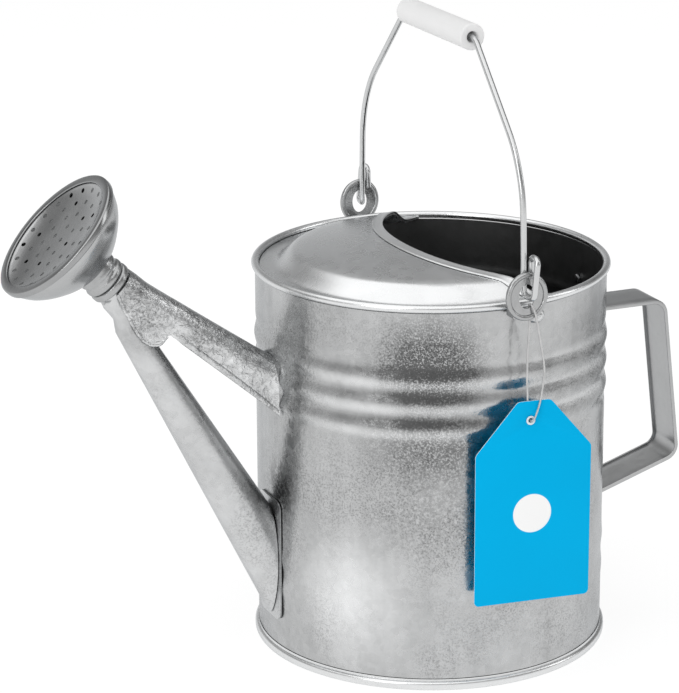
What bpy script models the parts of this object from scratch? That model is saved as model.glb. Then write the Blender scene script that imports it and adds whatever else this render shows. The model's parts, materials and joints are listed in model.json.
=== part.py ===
"""A galvanised two-gallon watering can, modelled as its separate sheet, wire and fitting pieces.

Metres, +Z up, standing on Z = 0. The spout points to -X, the back handle to +X, and the
bail ears stand at -Y and +Y. Positions on the tank are measured from the tank's own axis.
"""

from math import cos, pi, radians, sin, tan

import bmesh
import bpy
from mathutils import Matrix, Vector

GAP = 0.0003  # clearance between two touching pieces
SHEET = 0.0009  # sheet steel thickness, with its zinc
TANK_SIDES = 40  # facets round the tank and everything concentric with it

TANK_X = 0.04964  # the tank's axis, so that the whole object is centred on the origin
TANK_RADIUS = 0.1052
TANK_TOP = 0.235
UPPER_RIBS = (0.1897, 0.1747, 0.1597)
LOWER_RIBS = (0.063, 0.043)
RIB_HALF_HEIGHT = 0.0062
UPPER_RIB_RISE = 0.0008
LOWER_RIB_RISE = 0.0003

CHIME_RADIUS = 0.1076
CHIME_HEIGHT = 0.0065
PAN_HEIGHT = 0.0055  # underside of the bottom pan above the ground

BEAD_RADIUS = 0.0023  # section of the rolled rim
BEAD_CENTRE = Vector((0.105, 0, TANK_TOP - BEAD_RADIUS))
RIM_WIRE_RADIUS = 0.001

OPENING_CENTRE_X = 0.0595  # the fill opening is an ellipse cut out of the domed cover
OPENING_HALF_X = 0.080
OPENING_HALF_Y = 0.100
HEM_WIDTH = 0.006
COVER_PROFILE = (  # radius and height of the cover's upper face, from the rim inwards
    (0.1024, 0.2316),
    (0.0945, 0.2317),
    (0.0915, 0.2330),
    (0.0830, 0.2400),
    (0.0700, 0.2422),
    (0.0450, 0.2440),
    (0.0150, 0.2455),
)

SPOUT_START = Vector((-0.12485, 0, 0.09473))  # a point on the spout's axis
SPOUT_ANGLE = radians(60.8)
SPOUT_RADIUS = 0.01517  # at that point
SPOUT_TAPER = 0.0518  # radius lost per metre along the axis
SPOUT_HALF_WIDTH = 0.014  # the foot of the spout is pressed narrower than it is tall
INLET_INSET = 0.003  # the hole in the wall is this much smaller than the spout all round
FLANGE_RADIUS = 0.1067
FLANGE_HALF_WIDTH = 0.0158
FLANGE_BOTTOM = 0.023
FLANGE_TOP = 0.099

ROSE_CENTRE = Vector((-0.234, 0, 0.274))  # middle of the rose's front edge
ROSE_ANGLE = radians(45)
ROSE_RADIUS = 0.0426
ROSE_SIDES = 32
COLLAR_RADIUS = 0.0133
COLLAR_BACK = 0.0471  # distances behind the rose's front edge
COLLAR_FRONT = 0.0423
SPIGOT_FRONT = 0.033
THROAT_RADIUS = 0.0102
HOLE_RADIUS = 0.0014
HOLE_RINGS = ((0, 1), (0.0095, 6), (0.018, 11), (0.0262, 16), (0.0335, 20))

EAR_X = 0.005  # the ears stand slightly behind the tank's axis
EAR_Z = 0.2405
EAR_Y = 0.1175  # middle of the ear's plate
EAR_RADIUS = 0.0142
EAR_SQUEEZE = 0.92  # width over height
EAR_HOLE = (0.005, 0.0072)  # half width and half height

WIRE_RADIUS = 0.0018
BAIL_HALF_SPAN = 0.1135
GRIP_Z = 0.3754
GRIP_HALF_LENGTH = 0.0445
GRIP_RADIUS = 0.0078
GRIP_BORE = 0.0034

HANDLE_HALF_WIDTH = 0.0145
HANDLE_DEPTH = 0.0026  # over the lips along the strap's edges
HANDLE_FOOT_DEPTH = 0.0013  # the lips are pressed almost flat where the strap meets the tank
HANDLE_WEB = 0.001
RIVET_SPACING = 0.016
RIVET_HEIGHTS = (0.0575, 0.2065)
RIVET_SHANK = 0.0019

TAG_TURN = radians(-5.7)  # the tag faces slightly towards the spout
TAG_CENTRE = Vector((0.0109, -0.11735, 0))
TAG_HALF_WIDTH = 0.0355
TAG_BOTTOM = 0.0555
TAG_SHOULDER = 0.148
TAG_TOP = 0.178
TAG_TOP_HALF_WIDTH = 0.0100
TAG_HOLE = Vector((-0.0022, 0, 0.1664))
TAG_HOLE_RADIUS = 0.0022
TAG_THICKNESS = 0.0006
EYELET_RADIUS = 0.0027
STRING_RADIUS = 0.0006
STRING_ROUTE = (  # from behind the tag, over the near ear's lower edge, and back
    (0.0075, -0.1153, 0.1690),
    (0.0070, -0.1163, 0.1816),
    (0.0064, -0.1166, 0.1907),
    (0.0070, -0.1160, 0.2080),
    (0.0082, -0.1152, 0.2240),
    (0.0076, -0.1150, 0.2320),
    (0.0072, -0.1172, 0.2357),
    (0.0079, -0.1196, 0.2344),
    (0.0093, -0.1203, 0.2300),
    (0.0122, -0.1196, 0.2180),
    (0.0163, -0.1182, 0.1986),
    (0.0160, -0.1183, 0.1900),
    (0.0139, -0.1190, 0.1780),
    (0.0106, -0.1199, 0.1695),
    (0.0090, -0.1190, 0.1666),
    (0.0087, -0.1171, 0.1663),
    (0.0088, -0.1154, 0.1664),
    (0.0094, -0.1145, 0.1674),
)


def clear_scene():
    for obj in list(bpy.data.objects):
        bpy.data.objects.remove(obj, do_unlink=True)


def material(name, color, roughness, metallic):
    made = bpy.data.materials.new(name)
    made.use_nodes = True
    shader = made.node_tree.nodes["Principled BSDF"]
    shader.inputs["Base Color"].default_value = (*color, 1)
    shader.inputs["Roughness"].default_value = roughness
    shader.inputs["Metallic"].default_value = metallic
    made.diffuse_color = (*color, 1)
    return made


def empty(name, location, parent=None, rotation=(0, 0, 0)):
    made = bpy.data.objects.new(name, None)
    made.location = location
    made.rotation_euler = rotation
    made.parent = parent
    bpy.context.collection.objects.link(made)
    return made


def add(name, bm, finish, parent, smooth=35):
    """An object from a bmesh, shaded smooth except across edges sharper than smooth degrees."""
    bmesh.ops.remove_doubles(bm, verts=bm.verts, dist=1e-7)
    bmesh.ops.recalc_face_normals(bm, faces=bm.faces)
    mesh = bpy.data.meshes.new(name)
    bm.to_mesh(mesh)
    bm.free()
    mesh.materials.append(finish)
    mesh.shade_smooth()
    mesh.set_sharp_from_angle(angle=radians(smooth))
    obj = bpy.data.objects.new(name, mesh)
    obj.parent = parent
    bpy.context.collection.objects.link(obj)
    return obj


def cutter(name, bm, parent):
    obj = add(name, bm, cutter_finish, parent)
    obj.hide_render = True
    obj.display_type = "WIRE"
    return obj


def boolean(obj, other, operation):
    made = obj.modifiers.new(operation.lower(), "BOOLEAN")
    made.object = other
    made.operation = operation
    made.solver = "EXACT"


def solidify(obj, thickness):
    """Gives an open sheet its thickness, inwards from the modelled side."""
    made = obj.modifiers.new("thickness", "SOLIDIFY")
    made.thickness = thickness
    made.offset = -1


def ring_of(bm, points):
    """A closed loop of edges through the points."""
    verts = [bm.verts.new(point) for point in points]
    return [bm.edges.new((a, b)) for a, b in zip(verts, verts[1:] + verts[:1])]


def turned(profile, sides, closed=True):
    """A profile of (radius, z) points turned round Z."""
    bm = bmesh.new()
    points = [Vector((radius, 0, z)) for radius, z in profile]
    if closed:
        ring_of(bm, points)
    else:
        verts = [bm.verts.new(point) for point in points]
        for a, b in zip(verts, verts[1:]):
            bm.edges.new((a, b))
    bmesh.ops.spin(
        bm,
        geom=bm.verts[:] + bm.edges[:],
        cent=(0, 0, 0),
        axis=(0, 0, 1),
        angle=2 * pi,
        steps=sides,
        use_merge=True,
    )
    return bm


def cylinder(radius, bottom, top, sides=TANK_SIDES):
    """A solid cylinder round Z whose corners line up with the turned pieces."""
    bm = bmesh.new()
    bmesh.ops.create_circle(bm, segments=sides, radius=radius, cap_ends=True)
    bmesh.ops.translate(bm, verts=bm.verts, vec=(0, 0, bottom))
    raised = bmesh.ops.extrude_face_region(bm, geom=bm.faces[:])["geom"]
    lifted = [item for item in raised if isinstance(item, bmesh.types.BMVert)]
    bmesh.ops.translate(bm, verts=lifted, vec=(0, 0, top - bottom))
    return bm


def prism(outline, direction):
    """A flat outline extruded along a direction."""
    bm = bmesh.new()
    bm.faces.new([bm.verts.new(point) for point in outline])
    raised = bmesh.ops.extrude_face_region(bm, geom=bm.faces[:])["geom"]
    lifted = [item for item in raised if isinstance(item, bmesh.types.BMVert)]
    bmesh.ops.translate(bm, verts=lifted, vec=direction)
    return bm


def lofted(sections, capped):
    """Rings of the same number of points bridged one to the next."""
    bm = bmesh.new()
    rings = [ring_of(bm, section) for section in sections]
    for lower, upper in zip(rings, rings[1:]):
        bmesh.ops.bridge_loops(bm, edges=lower + upper)
    if capped:
        bmesh.ops.holes_fill(bm, edges=rings[0] + rings[-1], sides=0)
    return bm


def filleted(corners, radii, step=radians(15)):
    """Points along a polyline whose inner corners are rounded to the given radii."""
    points = [Vector(corners[0])]
    for before, corner, after, radius in zip(corners, corners[1:], corners[2:], radii):
        corner = Vector(corner)
        back = (Vector(before) - corner).normalized()
        ahead = (Vector(after) - corner).normalized()
        turn = pi - back.angle(ahead)
        reach = radius * tan(turn / 2)
        centre = corner + (back + ahead).normalized() * radius / cos(turn / 2)
        start = corner + back * reach - centre
        axis = start.cross(corner + ahead * reach - centre).normalized()
        count = max(2, round(turn / step))
        for index in range(count + 1):
            swing = Matrix.Rotation(turn * index / count, 3, axis)
            points.append(centre + swing @ start)
    points.append(Vector(corners[-1]))
    return points


def round_bar(name, points, radius, finish, parent, sides_level=1):
    """A round wire or cord along the points, with filled ends."""
    curve = bpy.data.curves.new(name, "CURVE")
    curve.dimensions = "3D"
    curve.bevel_depth = radius
    curve.bevel_resolution = sides_level
    curve.use_fill_caps = True
    spline = curve.splines.new("POLY")
    spline.points.add(len(points) - 1)
    for slot, point in zip(spline.points, points):
        slot.co = (*point, 1)
    curve.materials.append(finish)
    obj = bpy.data.objects.new(name, curve)
    obj.parent = parent
    bpy.context.collection.objects.link(obj)
    return obj


def smooth_curve(points, per_span):
    """Points read from a Catmull-Rom curve through the given ones."""
    route = [Vector(point) for point in points]
    ends = [2 * route[0] - route[1]] + route + [2 * route[-1] - route[-2]]
    curve = []
    for a, b, c, d in zip(ends, ends[1:], ends[2:], ends[3:]):
        for index in range(per_span):
            t = index / per_span
            curve.append(
                0.5 * (2 * b + (c - a) * t + (2 * a - 5 * b + 4 * c - d) * t**2)
                + 0.5 * (3 * b - 3 * c + d - a) * t**3
            )
    return curve + [route[-1]]


# The tank: wall, side seam, rolled rim, bottom pan and chime.


def wall_radius(height):
    """Outer radius of the tank wall, with its pressed ribs."""
    rise = 0
    for ribs, most in ((UPPER_RIBS, UPPER_RIB_RISE), (LOWER_RIBS, LOWER_RIB_RISE)):
        for centre in ribs:
            share = abs(height - centre) / RIB_HALF_HEIGHT
            if share < 1:
                rise = most * cos(share * pi / 2) ** 2
    return TANK_RADIUS + rise


def wall_heights():
    heights = [CHIME_HEIGHT + GAP]
    for centre in sorted(LOWER_RIBS + UPPER_RIBS):
        heights += [centre + RIB_HALF_HEIGHT * share for share in (-1, 0, 1)]
    return heights + [BEAD_CENTRE.z - BEAD_RADIUS - GAP]


def spout_ring(distance, shrink=0, sides=20):
    """A cross-section of the spout, narrowed sideways near its foot."""
    along = Vector((-cos(SPOUT_ANGLE), 0, sin(SPOUT_ANGLE)))
    upward = Vector((sin(SPOUT_ANGLE), 0, cos(SPOUT_ANGLE)))
    radius = SPOUT_RADIUS - SPOUT_TAPER * distance
    width = min(radius, SPOUT_HALF_WIDTH) - shrink
    centre = SPOUT_START + along * distance
    steps = [2 * pi * index / sides for index in range(sides)]
    return [
        centre + upward * (radius - shrink) * cos(a) + Vector((0, width * sin(a), 0)) for a in steps
    ]


def make_tank(parent):
    bore = lofted([spout_ring(distance, INLET_INSET) for distance in (-0.09, 0)], True)
    inlet = cutter("inlet_cutter", bore, parent)

    heights = wall_heights()
    outside = [(wall_radius(z), z) for z in heights]
    inside = [(wall_radius(z) - SHEET, z) for z in reversed(heights)]
    wall = add("tank_wall", turned(outside + inside, TANK_SIDES), galvanised, parent)
    boolean(wall, inlet, "DIFFERENCE")

    seam_outline = [(wall_radius(z) + GAP, z) for z in heights[1:-1]]
    seam_outline = [(TANK_RADIUS + GAP, 0.009), *seam_outline, (TANK_RADIUS + GAP, 0.226)]
    back = [(radius + SHEET, z) for radius, z in reversed(seam_outline)]
    bm = bmesh.new()
    face = bm.faces.new([bm.verts.new((radius, 0, z)) for radius, z in seam_outline + back])
    seam_angle = radians(2.6)
    bmesh.ops.spin(bm, geom=[face], cent=(0, 0, 0), axis=(0, 0, 1), angle=seam_angle, steps=1)
    turn = Matrix.Rotation(radians(13), 3, "Z")
    bmesh.ops.rotate(bm, verts=bm.verts, cent=(0, 0, 0), matrix=turn)
    add("side_seam", bm, galvanised, parent)

    add("rim_bead", turned(bead_section(), TANK_SIDES), galvanised, parent)
    wire = [
        (BEAD_CENTRE.x + RIM_WIRE_RADIUS * cos(a), BEAD_CENTRE.z + RIM_WIRE_RADIUS * sin(a))
        for a in (pi / 3 * index for index in range(6))
    ]
    add("rim_wire", turned(wire, TANK_SIDES), steel, parent)

    inner = TANK_RADIUS - SHEET
    chime = (
        (CHIME_RADIUS - 0.0006, 0),
        (CHIME_RADIUS, 0.0008),
        (CHIME_RADIUS, CHIME_HEIGHT - 0.0008),
        (CHIME_RADIUS - 0.0006, CHIME_HEIGHT),
        (inner, CHIME_HEIGHT),
        (inner, 0),
    )
    add("bottom_chime", turned(chime, TANK_SIDES), galvanised, parent)

    edge = inner - GAP
    pan = (
        (0, PAN_HEIGHT + SHEET),
        (edge, PAN_HEIGHT + SHEET),
        (edge, 0.0012),
        (edge - SHEET, 0.0012),
        (edge - SHEET, PAN_HEIGHT),
        (0, PAN_HEIGHT),
    )
    add("bottom_pan", turned(pan, TANK_SIDES, False), galvanised, parent)
    return inlet


def bead_section():
    """The rolled rim's section: a ring of sheet that is open underneath."""
    angles = [radians(a) for a in range(-60, 241, 50)]
    rings = [
        [(BEAD_CENTRE.x + radius * cos(a), BEAD_CENTRE.z + radius * sin(a)) for a in angles]
        for radius in (BEAD_RADIUS, BEAD_RADIUS - SHEET)
    ]
    return rings[0] + rings[1][::-1]


# The cover over the spout's half of the tank, and the hem along its cut edge.


def opening(margin, parent, name):
    """An upright elliptical cutter, larger than the fill opening by the margin."""
    steps = [2 * pi * index / 64 for index in range(64)]
    outline = [
        Vector(
            (
                OPENING_CENTRE_X + (OPENING_HALF_X + margin) * cos(a),
                (OPENING_HALF_Y + margin) * sin(a),
                0.215,
            )
        )
        for a in steps
    ]
    return cutter(name, prism(outline, (0, 0, 0.05)), parent)


def shell(profile, lift, thickness):
    upper = [(radius, z + lift) for radius, z in profile]
    return upper + [(radius, z - thickness) for radius, z in reversed(upper)]


def make_cover(parent):
    inside = opening(0, parent, "opening_cutter")
    band = opening(HEM_WIDTH, parent, "hem_cutter")
    cover = add("cover", turned(shell(COVER_PROFILE, 0, SHEET), TANK_SIDES), satin, parent)
    boolean(cover, inside, "DIFFERENCE")
    hem_profile = ((0.1018, COVER_PROFILE[0][1]), *COVER_PROFILE[1:])
    raised = turned(shell(hem_profile, GAP + SHEET, SHEET), TANK_SIDES)
    hem = add("cover_hem", raised, satin, parent)
    boolean(hem, inside, "DIFFERENCE")
    boolean(hem, band, "INTERSECT")


# The spout, its flange on the tank, the brace and the collar.


def rose_point(behind, outward):
    """A point in the spout's plane, by its distance behind the rose's front and off its axis."""
    axis = Vector((-cos(ROSE_ANGLE), 0, sin(ROSE_ANGLE)))
    side = Vector((sin(ROSE_ANGLE), 0, cos(ROSE_ANGLE)))
    return ROSE_CENTRE - axis * behind + side * outward


def tilted_ring(centre, angle, radius, sides=20):
    side = Vector((sin(angle), 0, cos(angle)))
    steps = [2 * pi * index / sides for index in range(sides)]
    return [centre + side * radius * cos(a) + Vector((0, radius * sin(a), 0)) for a in steps]


def make_spout(parent, inlet):
    sections = [spout_ring(distance) for distance in (-0.09, -0.04, 0.023, 0.15)]
    sections.append(tilted_ring(Vector((-0.1995, 0, 0.2325)), radians(52), 0.0086))
    for behind in (COLLAR_BACK + 0.0025, COLLAR_BACK + GAP):
        sections.append(tilted_ring(rose_point(behind, 0), ROSE_ANGLE, THROAT_RADIUS))
    spout = add("spout_tube", lofted(sections, False), dipped, parent, 50)
    solidify(spout, SHEET)
    clear = cylinder(FLANGE_RADIUS + GAP, -0.02, 0.26)
    boolean(spout, cutter("spout_foot_cutter", clear, parent), "DIFFERENCE")

    corner = 0.006
    outline = filleted(
        (
            (-0.12, 0, FLANGE_TOP),
            (-0.12, FLANGE_HALF_WIDTH, FLANGE_TOP),
            (-0.12, FLANGE_HALF_WIDTH, FLANGE_BOTTOM),
            (-0.12, -FLANGE_HALF_WIDTH, FLANGE_BOTTOM),
            (-0.12, -FLANGE_HALF_WIDTH, FLANGE_TOP),
            (-0.12, 0, FLANGE_TOP),
        ),
        [corner] * 4,
        radians(30),
    )[:-1]
    inner = FLANGE_RADIUS - SHEET
    ring = ((FLANGE_RADIUS, 0.01), (FLANGE_RADIUS, 0.11), (inner, 0.11), (inner, 0.01))
    flange = add("spout_flange", turned(ring, TANK_SIDES), dipped, parent)
    boolean(flange, cutter("flange_cutter", prism(outline, (0.04, 0, 0)), parent), "INTERSECT")
    boolean(flange, inlet, "DIFFERENCE")

    collar = (
        (0.0096, -COLLAR_BACK),
        (COLLAR_RADIUS - 0.0008, -COLLAR_BACK),
        (COLLAR_RADIUS, -COLLAR_BACK + 0.001),
        (COLLAR_RADIUS, -COLLAR_FRONT - 0.001),
        (COLLAR_RADIUS - 0.0008, -COLLAR_FRONT),
        (0.0109, -COLLAR_FRONT),
        (0.0109, -SPIGOT_FRONT),
        (0.0096, -SPIGOT_FRONT),
    )
    seat = empty("collar_axis", ROSE_CENTRE, parent, (0, ROSE_ANGLE - pi / 2, 0))
    add("spout_collar", turned(collar, ROSE_SIDES), dipped, seat)


def brace_section(crown, foot, half_width):
    """One U-shaped section of the brace: both hems, both legs and the rounded crown."""
    crown = Vector((crown[0], 0, crown[1]))
    drop = Vector((foot[0], 0, foot[1])) - crown
    rounding = min(half_width / drop.length, 0.8)
    arc = [(half_width * sin(a), rounding * (1 - cos(a))) for a in (0, pi / 6, pi / 3, pi / 2)]
    half = arc + [(half_width, 1)]
    across = [(-y, share) for y, share in reversed(half[1:])] + half
    return [crown + drop * share + Vector((0, y, 0)) for y, share in across]


def make_brace(parent):
    front = rose_point(COLLAR_BACK + 2 * GAP, 0.0129)
    front_foot = rose_point(COLLAR_BACK + 0.0012, -0.0025)
    stations = (
        ((-0.1030, 0.1870), (-0.1030, 0.1510), 0.0170),
        ((-0.1100, 0.1905), (-0.1125, 0.1600), 0.0135),
        ((-0.1250, 0.2009), (-0.1382, 0.1821), 0.0120),
        ((-0.1500, 0.2184), (-0.1615, 0.2020), 0.0113),
        ((-0.1600, 0.2255), (-0.1705, 0.2095), 0.0110),
        ((-0.1700, 0.2325), (-0.1770, 0.2050), 0.0109),
        ((-0.1800, 0.2398), (-0.1860, 0.2085), 0.0111),
        ((-0.1860, 0.2452), (-0.1950, 0.2235), 0.0119),
        ((front.x, front.z), (front_foot.x, front_foot.z), 0.0122),
    )
    bm = bmesh.new()
    rows = [[bm.verts.new(point) for point in brace_section(*station)] for station in stations]
    for row, after in zip(rows, rows[1:]):
        for index in range(len(row) - 1):
            bm.faces.new((row[index], row[index + 1], after[index + 1], after[index]))
    brace = add("spout_brace", bm, dipped, parent, 50)
    solidify(brace, 0.001)
    clear = cylinder(TANK_RADIUS + UPPER_RIB_RISE + GAP, 0.1, 0.26)
    boolean(brace, cutter("brace_foot_cutter", clear, parent), "DIFFERENCE")


# The rose: a socket, a bowl, a perforated face and the ring that clamps it.


def make_rose(parent):
    socket = (
        (0.0112, -COLLAR_FRONT + GAP),
        (0.0112, -0.0304),
        (0.0122, -0.0304),
        (0.0122, -0.0325),
        (0.0127, -0.0335),
        (0.0127, -0.0350),
        (0.0121, -0.0360),
        (0.0121, -0.0375),
        (0.0131, -0.0388),
        (0.0131, -0.0408),
        (0.0122, -COLLAR_FRONT + GAP),
    )
    add("rose_socket", turned(socket, ROSE_SIDES), dipped, parent)
    bowl = (
        (0.0122, -0.0300),
        (0.0180, -0.0283),
        (0.0228, -0.0253),
        (0.0280, -0.0215),
        (0.0335, -0.0168),
        (0.0378, -0.0115),
        (0.0402, -0.0068),
        (0.0413, -0.0036),
        (0.0413, -0.0003),
    )
    solidify(add("rose_bowl", turned(bowl, ROSE_SIDES, False), satin, parent), SHEET)

    dish = (
        (0, -0.0046),
        (0.0080, -0.0045),
        (0.0180, -0.0041),
        (0.0260, -0.0034),
        (0.0315, -0.0023),
        (0.0370, -0.0003),
        (0.0401, -0.0003),
    )
    under = [(radius, z - SHEET) for radius, z in reversed(dish)]
    face = add("rose_face", turned((*dish, *under), ROSE_SIDES, False), satin, parent)
    drills = bmesh.new()
    for radius, count in HOLE_RINGS:
        for index in range(count):
            angle = 2 * pi * (index + 0.5) / count
            place = Matrix.Translation((radius * cos(angle), radius * sin(angle), 0))
            bmesh.ops.create_cone(
                drills,
                cap_ends=True,
                segments=5,
                radius1=HOLE_RADIUS,
                radius2=HOLE_RADIUS,
                depth=0.02,
                matrix=place,
            )
    boolean(face, cutter("rose_drill", drills, parent), "DIFFERENCE")

    ring = (
        (0.0372, 0),
        (0.0372, 0.0005),
        (0.0376, 0.0009),
        (0.0416, 0.0009),
        (0.0424, 0.0005),
        (ROSE_RADIUS, -0.0004),
        (ROSE_RADIUS, -0.0026),
        (0.0423, -0.0031),
        (0.0416, -0.0031),
        (0.0416, 0),
    )
    add("rose_ring", turned(ring, ROSE_SIDES), satin, parent)


# The ears, the bail and its grip.


def make_ear(name, side, parent):
    """A stamped ear: a plate with a rolled edge and a tall hole, and a lug to the rim."""
    plate = 0.0005
    roll = 0.0012
    inner = EAR_RADIUS - 2 * roll
    arc = [
        (EAR_RADIUS - roll + roll * sin(a), roll * cos(a))
        for a in (radians(angle) for angle in (-60, -20, 20, 60, 90, 130, 180, 230))
    ]
    bm = turned([(0.002, -plate), (0.002, plate), (inner, plate), *arc, (inner, -plate)], 28)
    squeeze = Matrix.Diagonal((EAR_SQUEEZE, 1, 1))
    upright = Matrix.Rotation(pi / 2 * side, 3, "X")
    for matrix in (squeeze, upright):
        bmesh.ops.transform(bm, verts=bm.verts, matrix=matrix.to_4x4())
    place = Vector((EAR_X, side * EAR_Y, EAR_Z))
    bmesh.ops.translate(bm, verts=bm.verts, vec=place)
    ear = add(name, bm, satin, parent)

    half_width, half_height = EAR_HOLE
    outline = [
        place + Vector((half_width * cos(a), -0.006, half_height * sin(a)))
        for a in (2 * pi * index / 16 for index in range(16))
    ]
    lug_back = 0.1077
    lug = prism(
        [
            Vector((x, side * lug_back, z))
            for x, z in ((-0.003, 0.2278), (0.003, 0.2276), (0.003, 0.2326), (-0.003, 0.2326))
        ],
        (0, side * (EAR_Y - lug_back), 0),
    )
    boolean(ear, cutter(name + "_lug", lug, parent), "UNION")
    boolean(ear, cutter(name + "_hole", prism(outline, (0, 0.012, 0)), parent), "DIFFERENCE")


def bail_half():
    """One half of the bail in its own frame, whose X axis lies on the ears' line."""
    grip_rise = GRIP_Z - EAR_Z
    arch = filleted(
        (
            (0, 0, grip_rise),
            (0, 0.0475, grip_rise),
            (0, 0.1112, 0.0706),
            (0, BAIL_HALF_SPAN, 0.0045),
        ),
        (0.012, 0.070),
        radians(11),
    )
    hook = filleted(
        (
            (0, BAIL_HALF_SPAN, 0.0045),
            (0.0004, 0.1139, -0.0004),
            (0.0020, 0.1229, -0.0004),
            (0.0040, 0.1229, 0.0220),
            (0.0042, 0.1142, 0.0220),
            (0.0045, 0.1140, 0.0095),
        ),
        (0.0026, 0.0026, 0.0036, 0.0036),
        radians(24),
    )
    return arch[1:-1] + hook


def make_bail(parent):
    half = bail_half()
    other = [Vector((point.x, -point.y, point.z)) for point in half]
    round_bar("bail_wire", other[::-1] + half, WIRE_RADIUS, steel, parent, 2)
    grip_axis = empty("grip_axis", (0, 0, GRIP_Z - EAR_Z), parent, (pi / 2, 0, 0))
    ends = GRIP_HALF_LENGTH
    grip = (
        (GRIP_BORE, -ends),
        (GRIP_RADIUS - 0.0006, -ends),
        (GRIP_RADIUS, -ends + 0.0008),
        (GRIP_RADIUS, ends - 0.0008),
        (GRIP_RADIUS - 0.0006, ends),
        (GRIP_BORE, ends),
    )
    add("bail_grip", turned(grip, 24), plastic, grip_axis)


# The back handle: a strap with turned-in edges, two feet and four rivets.


def strap_section(point, along, depth, hug):
    """A cross-section of the strap: a web with a lip along each edge, facing into the handle."""
    inward = Vector((along.z, 0, -along.x))
    half = HANDLE_HALF_WIDTH
    lip = half - HANDLE_WEB
    outline = (
        (-half, 0.0006),
        (-half + 0.0006, 0),
        (half - 0.0006, 0),
        (half, 0.0006),
        (half, depth),
        (lip, depth),
        (lip, HANDLE_WEB),
        (-lip, HANDLE_WEB),
        (-lip, depth),
        (-half, depth),
    )
    section = []
    for y, drop in outline:
        bend = hug * (TANK_RADIUS - (TANK_RADIUS**2 - y**2) ** 0.5)
        section.append(point + inward * drop + Vector((-bend, y, 0)))
    return section


def make_handle(parent):
    face = TANK_RADIUS + UPPER_RIB_RISE + GAP + HANDLE_FOOT_DEPTH
    path = filleted(
        (
            (face, 0, 0.2165),
            (face, 0, 0.1937),
            (0.1540, 0, 0.1937),
            (0.1660, 0, 0.0900),
            (face, 0, 0.0712),
            (face, 0, 0.0475),
        ),
        (0.005, 0.010, 0.010, 0.005),
        radians(22),
    )
    sections = []
    last = len(path) - 1
    for index, point in enumerate(path):
        along = (path[min(index + 1, last)] - path[max(index - 1, 0)]).normalized()
        on_tank = point.x < face + 0.0001
        depth = HANDLE_FOOT_DEPTH if on_tank else HANDLE_DEPTH
        sections.append(strap_section(point, along, depth, 1 if on_tank else 0))
    handle = add("back_handle", lofted(sections, True), satin, parent)

    drills = bmesh.new()
    drill_radius = RIVET_SHANK + GAP
    axle = Matrix.Rotation(pi / 2, 4, "Y")
    spots = [(side * RIVET_SPACING / 2, z) for z in RIVET_HEIGHTS for side in (-1, 1)]
    for y, z in spots:
        place = Matrix.Translation((face, y, z)) @ axle
        bmesh.ops.create_cone(
            drills,
            cap_ends=True,
            segments=12,
            radius1=drill_radius,
            radius2=drill_radius,
            depth=0.02,
            matrix=place,
        )
    drill = cutter("rivet_drill", drills, parent)
    boolean(handle, drill, "DIFFERENCE")
    boolean(bpy.data.objects["tank_wall"], drill, "DIFFERENCE")
    inside = -(face + GAP - 0.1032)  # where the inner heads start, measured from the outer ones
    rivet = (
        (0, 0.0017),
        (0.0020, 0.0014),
        (0.0036, 0.0006),
        (0.0042, 0),
        (RIVET_SHANK, 0),
        (RIVET_SHANK, inside),
        (0.0031, inside),
        (0.0031, inside - 0.0009),
        (0, inside - 0.0014),
    )
    for index, (y, z) in enumerate(spots):
        seat = empty(f"rivet_seat_{index + 1}", (face + GAP, y, z), parent, (0, pi / 2, 0))
        add(f"handle_rivet_{index + 1}", turned(rivet, 12, False), steel, seat)


# The hang tag on its loop of string.


def make_tag(parent):
    half = TAG_HALF_WIDTH
    corners = (
        (0, 0, TAG_BOTTOM),
        (half, 0, TAG_BOTTOM),
        (half, 0, TAG_SHOULDER),
        (TAG_TOP_HALF_WIDTH, 0, TAG_TOP),
        (-TAG_TOP_HALF_WIDTH, 0, TAG_TOP),
        (-half, 0, TAG_SHOULDER),
        (-half, 0, TAG_BOTTOM),
        (0, 0, TAG_BOTTOM),
    )
    outline = filleted(corners, (0.003, 0.004, 0.004, 0.004, 0.004, 0.003), radians(30))[:-1]
    back = Vector((0, -TAG_THICKNESS / 2, 0))
    seat = empty("tag_centre", TAG_CENTRE, parent, (0, 0, TAG_TURN))
    sheet = prism([point + back for point in outline], (0, TAG_THICKNESS, 0))
    tag = add("tag_card", sheet, card, seat)
    punch = cylinder(TAG_HOLE_RADIUS, -0.005, 0.005, 24)
    upright = Matrix.Rotation(pi / 2, 3, "X")
    bmesh.ops.rotate(punch, verts=punch.verts, cent=(0, 0, 0), matrix=upright)
    bmesh.ops.translate(punch, verts=punch.verts, vec=TAG_HOLE)
    boolean(tag, cutter("tag_punch", punch, seat), "DIFFERENCE")

    inner = TAG_THICKNESS / 2 + GAP
    outer = inner + 0.0003
    barrel = TAG_HOLE_RADIUS - GAP
    bore = barrel - 0.0004
    eyelet = (
        (bore, -outer),
        (EYELET_RADIUS, -outer),
        (EYELET_RADIUS, -inner),
        (barrel, -inner),
        (barrel, inner),
        (EYELET_RADIUS, inner),
        (EYELET_RADIUS, outer),
        (bore, outer),
    )
    hole = empty("tag_hole", TAG_HOLE, seat, (pi / 2, 0, 0))
    add("tag_eyelet", turned(eyelet, 24), white, hole)
    round_bar("tag_string", smooth_curve(STRING_ROUTE, 4), STRING_RADIUS, cord, parent, 1)


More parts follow.
